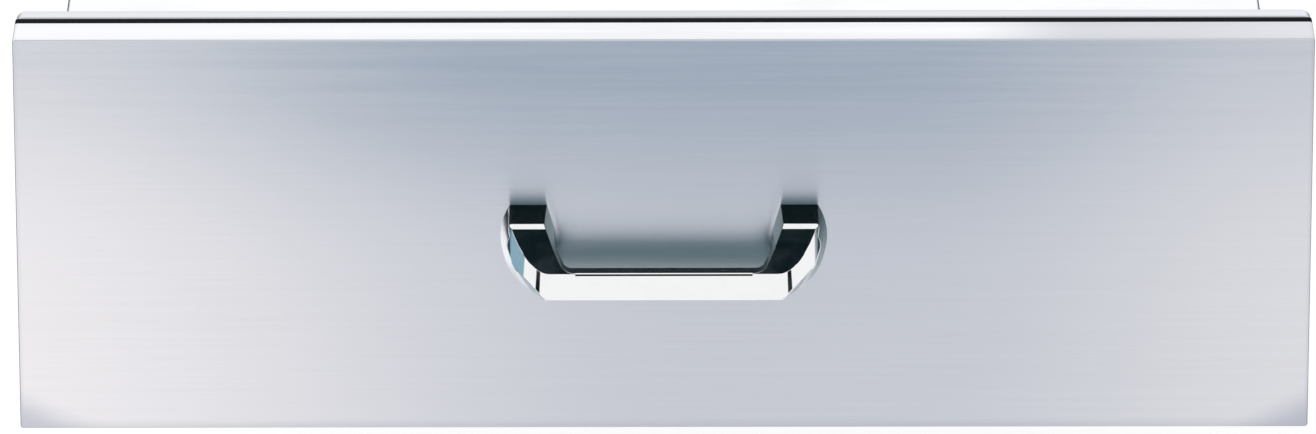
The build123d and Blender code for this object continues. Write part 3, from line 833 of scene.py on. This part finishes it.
@dataclass(frozen=True)
class Surroundings:
    """The world: white to the camera, soft grey light, and the rooms that steel mirrors."""

    brushed: BrushedRoom = BrushedRoom()
    polished: PolishedRoom = PolishedRoom()
    white: Colour = (1.0, 1.0, 1.0)
    fill: Colour = (0.7, 0.7, 0.7)
    before: Span = (-0.05, 0.05)
    again: Span = (1.2, 1.8)

    def build(self) -> bpy.types.World:
        """Make the world.

        Returns:
            The world.
        """
        world = bpy.context.scene.world or bpy.data.worlds.new("room")
        bpy.context.scene.world = world
        world.use_nodes = True
        graph = Graph(world.node_tree)
        x, y, z = graph.axes(Coordinates.DIRECTION)
        degrees = math.degrees(1.0)
        azimuth = graph.maths("ARCTAN2", x, -y) * degrees
        path = graph.node("ShaderNodeLightPath")
        gaze = Gaze(
            elevation=graph.maths("ARCSINE", z) * degrees,
            azimuth=azimuth,
            side=abs(azimuth),
            before=(-y).rise(*self.before),
            again=Term(graph, path.outputs["Glossy Depth"]).rise(*self.again),
        )
        seen = Term(graph, path.outputs["Is Camera Ray"])
        glossy = Term(graph, path.outputs["Is Glossy Ray"])
        mirrored = Term(graph, path.outputs["Is Singular Ray"])
        rooms = (self.brushed.colour(graph, gaze), self.polished.colour(graph, gaze))
        plain = graph.mix(seen, self.fill, self.white)
        colour = graph.mix(glossy * (1.0 - seen), plain, graph.mix(mirrored, *rooms))
        light = graph.node("ShaderNodeBackground", None, {"Color": colour, "Strength": 1.0})
        graph.node("ShaderNodeOutputWorld", None, {"Surface": light.outputs[0]})
        world.cycles.sampling_method = "NONE"
        return world


@dataclass(frozen=True)
class Floor:
    """Wide pale floor well below the drawer, seen from above only."""

    level: float = -0.45
    half: float = 60.0
    matt: Colour = (0.42, 0.42, 0.42)
    glow: float = 0.66

    def build(self) -> bpy.types.Object:
        """Lay the floor.

        Returns:
            The floor.
        """
        corners = ((-1.0, -1.0), (1.0, -1.0), (1.0, 1.0), (-1.0, 1.0))
        floor = flat_quad("floor", [(a * self.half, b * self.half, self.level) for a, b in corners])
        material, graph = new_material("studio_floor")
        matt = graph.node("ShaderNodeBsdfDiffuse", None, {"Color": (*self.matt, 1.0)}).outputs[0]
        light = graph.glow((1.0, 1.0, 1.0, 1.0), self.glow)
        both = graph.node("ShaderNodeAddShader", None, {0: matt, 1: light}).outputs[0]
        beneath = graph.node("ShaderNodeNewGeometry").outputs["Backfacing"]
        finish_with(graph, graph.clear_where(beneath, both))
        floor.data.materials.append(material)
        floor.visible_glossy = False
        floor.visible_diffuse = False
        return floor


@dataclass(frozen=True)
class MirroredCard:
    """Upright card that shows in steel alone and moves with the drawer."""

    half_width: float = 1.2

    def hang(
        self, name: str, y: float, height: Span, material: bpy.types.Material
    ) -> bpy.types.Object:
        """Hang the card.

        Args:
            name: The card's name.
            y: Its place along Y.
            height: Its lower and upper edge.
            material: What it gives off.

        Returns:
            The card.
        """
        half, (low, high) = self.half_width, height
        card = flat_quad(name, [(-half, y, low), (half, y, low), (half, y, high), (-half, y, high)])
        material.cycles.emission_sampling = "NONE"
        card.data.materials.append(material)
        card.visible_camera = False
        card.visible_diffuse = False
        card.visible_shadow = False
        card.visible_transmission = False
        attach(card, body_of(frame["nodes"]["front_skin"])[0])
        return card


@dataclass(frozen=True)
class FaceCard(MirroredCard):
    """Card close before the face, grey-blue above and white below, for brushed steel only.

    Its second reflection is what the face mirrors in the handle, and its third what lies between
    handle and face.
    """

    gap: float = 0.2
    height: Span = (-0.9, 0.1)
    lower: tuple[Colour, ...] = ((1.22, 1.165, 1.165), (0.80, 0.81, 0.87), (1.0, 0.98, 1.0))
    lower_joins: tuple[Span, ...] = ((-0.46, 0.03), (0.15, 0.42))
    upper: tuple[Colour, ...] = ((0.92, 0.92, 0.97), (0.34, 0.445, 0.575), (0.76, 0.78, 0.86))
    upper_joins: tuple[Span, ...] = ((-0.42, -0.10), (0.13, 0.40))
    climb: Span = (-0.085, 0.06)
    shade: Colour = (0.20, 0.28, 0.36)
    shade_share: float = 0.22
    shade_climb: Span = (0.015, 0.05)
    again_white: Colour = (1.4, 1.4, 1.42)
    again_dark: tuple[Colour, ...] = ((0.02, 0.05, 0.06), (0.42, 0.50, 0.54), (0.16, 0.24, 0.27))
    again_climbs: tuple[Span, ...] = ((-0.16, -0.12), (-0.22, -0.16), (-0.17, -0.13))
    again_joins: tuple[Span, ...] = ((-0.14, -0.10), (0.10, 0.14))
    again_left_end: Span = (-0.225, -0.215)
    again_top: Colour = NEAR_BLACK
    again_top_climb: Span = (-0.04, 0.0)
    nook: Colour = (0.15, 0.26, 0.29)
    depths: tuple[Span, ...] = ((1.2, 1.8), (2.2, 2.8))

    def build(self) -> bpy.types.Object:
        """Hang the card before the face.

        Returns:
            The card.
        """
        material, graph = new_material("studio_card")
        x, _, z = graph.axes()
        path = graph.node("ShaderNodeLightPath")
        depth = Term(graph, path.outputs["Glossy Depth"])
        seen = (self.first(graph, x, z), self.second(graph, x, z), self.nook)
        light = graph.glow(graph.sweep(depth, seen, self.depths))
        finish_with(graph, graph.clear_where(path.outputs["Is Singular Ray"], light))
        return self.hang("near_card", face_y() - self.gap, self.height, material)

    def first(self, graph: Graph, x: Term, z: Term) -> bpy.types.NodeSocket:
        """Colour the card as the face mirrors it.

        Args:
            graph: The card's graph.
            x: Place along X.
            z: Height.

        Returns:
            The colour.
        """
        lower = graph.sweep(x, self.lower, self.lower_joins)
        upper = graph.sweep(x, self.upper, self.upper_joins)
        colour = graph.mix(z.rise(*self.climb), lower, upper)
        return graph.mix(z.rise(*self.shade_climb) * self.shade_share, colour, self.shade)

    def second(self, graph: Graph, x: Term, z: Term) -> bpy.types.NodeSocket:
        """Colour the card as it is mirrored over two surfaces.

        Args:
            graph: The card's graph.
            x: Place along X.
            z: Height.

        Returns:
            The colour.
        """
        shares = [z.rise(*climb) for climb in self.again_climbs]
        shares[0] = x.fall(*self.again_left_end) * shares[0]
        darks = zip(shares, self.again_dark)
        parts = [graph.mix(share, self.again_white, dark) for share, dark in darks]
        colour = graph.sweep(x, parts, self.again_joins)
        return graph.mix(z.rise(*self.again_top_climb), colour, self.again_top)


@dataclass(frozen=True)
class TopCard(MirroredCard):
    """Low card over the gasket, which lights the front's top return, less so to the right."""

    gap: float = 0.5 * MM
    rise: float = 0.18
    colours: tuple[Colour, ...] = ((1.28, 1.28, 1.28), (0.95, 0.95, 0.99), (1.02, 1.02, 1.05))
    joins: tuple[Span, ...] = ((0.17, 0.25), (0.30, 0.38))

    def build(self) -> bpy.types.Object:
        """Stand the card over the gasket.

        Returns:
            The card.
        """
        material, graph = new_material("studio_top_card")
        light = graph.glow(graph.sweep(graph.axes()[0], self.colours, self.joins))
        behind = graph.node("ShaderNodeNewGeometry").outputs["Backfacing"]
        finish_with(graph, graph.clear_where(behind, light))
        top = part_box("front_skin")[1][2]
        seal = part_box("gasket_top")
        height = (top + self.gap, top + self.rise)
        return self.hang("top_card", (seal[0][1] + seal[1][1]) / 2.0, height, material)


@dataclass(frozen=True)
class SoftBox:
    """One large soft lamp above and in front."""

    width: float = 2.4
    depth: float = 1.6
    watts: float = 30.0
    place: Point = (-0.5, -0.6, 2.2)
    aim: Point = (0.0, 0.2, 0.0)

    def build(self) -> bpy.types.Object:
        """Hang the lamp.

        Returns:
            The lamp.
        """
        data = bpy.data.lights.new("soft_box", "AREA")
        data.shape = "RECTANGLE"
        data.size = self.width
        data.size_y = self.depth
        data.energy = self.watts
        lamp = bpy.data.objects.new("soft_box", data)
        lamp.location = self.place
        forward = Vector(self.aim) - Vector(self.place)
        lamp.rotation_euler = forward.to_track_quat("-Z", "Y").to_euler()
        lamp.visible_glossy = False
        lamp.visible_camera = False
        bpy.context.scene.collection.objects.link(lamp)
        return lamp


def face_y() -> float:
    """Place of the drawer's face along Y."""
    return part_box("front_skin")[0][1]


def build_studio() -> None:
    """Make the camera, the world, the floor, the cards and the lamp."""
    for part in (PhotoCamera(), Surroundings(), Floor(), FaceCard(), TopCard(), SoftBox()):
        LOG.info("studio: %s", part.build().name)
    bpy.context.scene.view_settings.view_transform = "Standard"


class Recess(Enum):
    """What is sunk into a fastener's head."""

    CROSS = "cross"
    MANDREL = "mandrel"


@dataclass(frozen=True)
class HeadRecess:
    """Recess in the heads of one kind of fastener: a driver's cross, or a pulled rivet's hollow."""

    kind: Recess
    reach: float
    depth: float
    blade: float = 0.9 * MM
    taper: float = 0.45
    sides: int = 20
    proud: float = 0.3 * MM

    def outline(self) -> list[tuple[float, float]]:
        """Give the recess's outline at the head's face.

        Returns:
            Corners about the fastener's axis, in metres.
        """
        if self.kind is Recess.MANDREL:
            turns = [i * 2.0 * math.pi / self.sides for i in range(self.sides)]
            return [(self.reach * math.cos(turn), self.reach * math.sin(turn)) for turn in turns]
        arm, half = self.reach, self.blade / 2.0
        quarter = [(arm, -half), (arm, half), (half, half)]
        corners = []
        for step in range(4):
            cos, sin = math.cos(step * math.pi / 2.0), math.sin(step * math.pi / 2.0)
            corners += [(a * cos - b * sin, a * sin + b * cos) for a, b in quarter]
        return corners

    def cut(self, mesh: bmesh.types.BMesh, top: Vector, inward: Vector) -> None:
        """Add the solid that is cut from one head, a little proud of it and tapered inwards.

        Args:
            mesh: The mesh that takes the solid.
            top: Middle of the head's face.
            inward: Unit direction into the head.
        """
        across = inward.orthogonal().normalized()
        along = inward.cross(across)
        rings = []
        for place, scale in ((-self.proud, 1.0), (0.0, 1.0), (self.depth, self.taper)):
            centre = top + inward * place
            points = [centre + (across * a + along * b) * scale for a, b in self.outline()]
            rings.append([mesh.verts.new(point) for point in points])
        count = len(rings[0])
        for near, far in zip(rings, rings[1:]):
            for i in range(count):
                j = (i + 1) % count
                mesh.faces.new((near[i], near[j], far[j], far[i]))
        mesh.faces.new(tuple(reversed(rings[0])))
        mesh.faces.new(tuple(rings[-1]))


SCREW_CROSS = HeadRecess(Recess.CROSS, reach=2.4 * MM, depth=1.5 * MM)
RIVET_HOLLOW = HeadRecess(Recess.MANDREL, reach=1.15 * MM, depth=1.0 * MM)


@dataclass(frozen=True)
class Fastener:
    """One screw or rivet of a node, known by its vertices."""

    points: tuple[Vector, ...]
    face_depth: float = 0.02 * MM
    out_of_round: float = 0.02

    def corners(self) -> tuple[Vector, Vector]:
        """Lowest and highest corner of the fastener's box."""
        low, high = ([end(row) for row in zip(*self.points)] for end in (min, max))
        return Vector(low), Vector(high)

    def head(self) -> tuple[Vector, Vector]:
        """Find the face of the fastener's head, which is the widest flat end.

        Returns:
            The middle of the head's face and the direction into the head.
        """
        low, high = self.corners()
        widest, top, inward = 0.0, low, low
        for axis in range(3):
            if not self.is_round(high - low, axis):
                continue
            for end, sign in ((low, 1.0), (high, -1.0)):
                spread = self.spread((low + high) / 2.0, axis, end[axis])
                if spread > widest:
                    widest = spread
                    top = (low + high) / 2.0
                    top[axis] = end[axis]
                    inward = sign * Vector([float(i == axis) for i in range(3)])
        return top, inward

    def is_round(self, size: Vector, axis: int) -> bool:
        """True if the box is square across an axis, as it is about the fastener's own."""
        first, second = (size[i] for i in range(3) if i != axis)
        return abs(first - second) < self.out_of_round * first

    def spread(self, middle: Vector, axis: int, end: float) -> float:
        """Farthest that the face at one end of an axis reaches from the middle."""
        face = [point - middle for point in self.points if abs(point[axis] - end) < self.face_depth]
        return max(math.hypot(*(offset[i] for i in range(3) if i != axis)) for offset in face)


def fasteners_in(mesh: bpy.types.Mesh, weld: float = 0.001 * MM) -> list[Fastener]:
    """Split a node's mesh into its separate fasteners.

    Args:
        mesh: The mesh, whose solids may have unjoined edges.
        weld: How near two points are that count as one.

    Returns:
        The fasteners, in order of place.
    """
    whole = bmesh.new()
    whole.from_mesh(mesh)
    bmesh.ops.remove_doubles(whole, verts=whole.verts, dist=weld)
    left = set(whole.verts)
    found = []
    while left:
        queue = [left.pop()]
        solid = []
        while queue:
            vertex = queue.pop()
            solid.append(vertex.co.copy())
            beyond = {edge.other_vert(vertex) for edge in vertex.link_edges} & left
            left -= beyond
            queue += beyond
        found.append(solid)
    whole.free()
    found.sort(key=lambda solid: [round(part, 6) for part in min(tuple(point) for point in solid)])
    return [Fastener(tuple(solid)) for solid in found]


@dataclass
class SubAssembly:
    """Nodes that are made and fitted together, with their finishes and their fasteners' heads.

    A key of finishes is a node's name, or the start of several nodes' names where it ends in "_".
    """

    palette: Palette
    finishes: Mapping[str, str] = field(default_factory=dict)
    fasteners: Mapping[str, HeadRecess] = field(default_factory=dict)

    def build(self) -> list[bpy.types.Object]:
        """Make the fasteners whose heads have recesses, each piece in place of its node."""
        return [self.headed(name, recess) for name, recess in self.fasteners.items()]

    def dress(self) -> None:
        """Give each node its finish."""
        for name, node in sorted(frame["nodes"].items()):
            slot = self.slot_of(name)
            if slot is None:
                continue
            for holder in node.material_slots:
                holder.material = self.palette.material(slot)
            LOG.info("%s: %s in %s", type(self).__name__, name, slot)

    def slot_of(self, name: str) -> str | None:
        """Find a node's slot.

        Args:
            name: The node's name.

        Returns:
            The slot of the longest key that fits, or None if the node is another sub-assembly's.
        """
        starts = [key for key in self.finishes if key.endswith("_") and name.startswith(key)]
        fitting = [key for key in self.finishes if key == name] or starts
        return self.finishes[max(fitting, key=len)] if fitting else None

    def headed(self, name: str, recess: HeadRecess) -> bpy.types.Object:
        """Make one node's fasteners again with recesses in their heads.

        Args:
            name: The node.
            recess: The recess in each head.

        Returns:
            The piece that stands for the node.
        """
        node = frame["nodes"][name]
        cutters = bmesh.new()
        for fastener in fasteners_in(node.data):
            recess.cut(cutters, *fastener.head())
        bmesh.ops.recalc_face_normals(cutters, faces=cutters.faces)
        cutter = object_from(cutters, f"{name}_cutters")
        piece = bpy.data.objects.new(f"{name}_with_recesses", node.data.copy())
        bpy.context.scene.collection.objects.link(piece)
        cut = piece.modifiers.new("recess", "BOOLEAN")
        cut.operation = "DIFFERENCE"
        cut.solver = "EXACT"
        cut.object = cutter
        shown = piece.evaluated_get(bpy.context.evaluated_depsgraph_get())
        shape = bpy.data.meshes.new_from_object(shown)
        piece.modifiers.clear()
        piece.data = shape
        bpy.data.objects.remove(cutter)
        slot = self.slot_of(name)
        piece.data.materials.clear()
        piece.data.materials.append(self.palette.material(slot))
        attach(piece, body_of(node)[0])
        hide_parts(name)
        LOG.info("%s: made %s", type(self).__name__, piece.name)
        return piece


@dataclass
class Front(SubAssembly):
    """Drawer front: brushed skin, folded liner, stiffener and the plugs over its screws."""

    finishes: Mapping[str, str] = field(
        default_factory=lambda: {
            "front_skin": "brushed_front",
            "front_liner": "folded_steel",
            "handle_stiffener": "folded_steel",
            "liner_plugs": "plug_plastic",
        }
    )


@dataclass
class Handle(SubAssembly):
    """Cast bar handle and the two screws that hold it from behind the skin."""

    finishes: Mapping[str, str] = field(
        default_factory=lambda: {
            "handle": "polished_handle",
            "handle_fixing_screws": "stainless_fasteners",
        }
    )
    fasteners: Mapping[str, HeadRecess] = field(
        default_factory=lambda: {"handle_fixing_screws": SCREW_CROSS}
    )


@dataclass
class Seal(SubAssembly):
    """Gasket between the front and the flange."""

    finishes: Mapping[str, str] = field(default_factory=lambda: {"gasket_": "gasket_rubber"})


@dataclass
class Housing(SubAssembly):
    """Flange and sleeve that stand in the island, and the rivets that join them."""

    finishes: Mapping[str, str] = field(
        default_factory=lambda: {
            "flange_": "flange_steel",
            "housing_": "folded_steel",
            "housing_rivets": "stainless_fasteners",
        }
    )
    fasteners: Mapping[str, HeadRecess] = field(
        default_factory=lambda: {"housing_rivets": RIVET_HOLLOW}
    )


@dataclass
class DrawerBox(SubAssembly):
    """Folded box, its rivets, and the screws and rivet nuts that join it to the front."""

    finishes: Mapping[str, str] = field(
        default_factory=lambda: {
            "box_": "folded_steel",
            "box_rivets": "stainless_fasteners",
            "front_fixing_screws": "stainless_fasteners",
            "front_rivet_nuts": "stainless_fasteners",
        }
    )
    fasteners: Mapping[str, HeadRecess] = field(
        default_factory=lambda: {"box_rivets": RIVET_HOLLOW, "front_fixing_screws": SCREW_CROSS}
    )


@dataclass
class Slides(SubAssembly):
    """Ball slides with their cages, balls, end buffers, rivets and screws."""

    finishes: Mapping[str, str] = field(
        default_factory=lambda: {
            "slide_": "zinc_plated_steel",
            "cage_": "zinc_plated_steel",
            "balls_": "bearing_steel",
            "end_buffer_": "buffer_rubber",
            "slide_rivets": "stainless_fasteners",
            "slide_screws_": "stainless_fasteners",
        }
    )
    fasteners: Mapping[str, HeadRecess] = field(
        default_factory=lambda: {
            "slide_rivets": RIVET_HOLLOW,
            "slide_screws_left": SCREW_CROSS,
            "slide_screws_right": SCREW_CROSS,
        }
    )


@dataclass
class ReleaseLevers(SubAssembly):
    """Levers that free the drawer from its slides, on their pins."""

    finishes: Mapping[str, str] = field(
        default_factory=lambda: {
            "release_lever_": "lever_plastic",
            "lever_pin_": "zinc_plated_steel",
        }
    )


def main() -> None:
    """Build the studio and the sub-assemblies, in order."""
    logging.basicConfig(level=logging.INFO, format="%(message)s")
    palette = Palette()
    build_studio()
    for kind in (Housing, Slides, DrawerBox, ReleaseLevers, Seal, Front, Handle):
        assembly = kind(palette)
        assembly.dress()
        assembly.build()


if __name__ == "__main__":
    main()
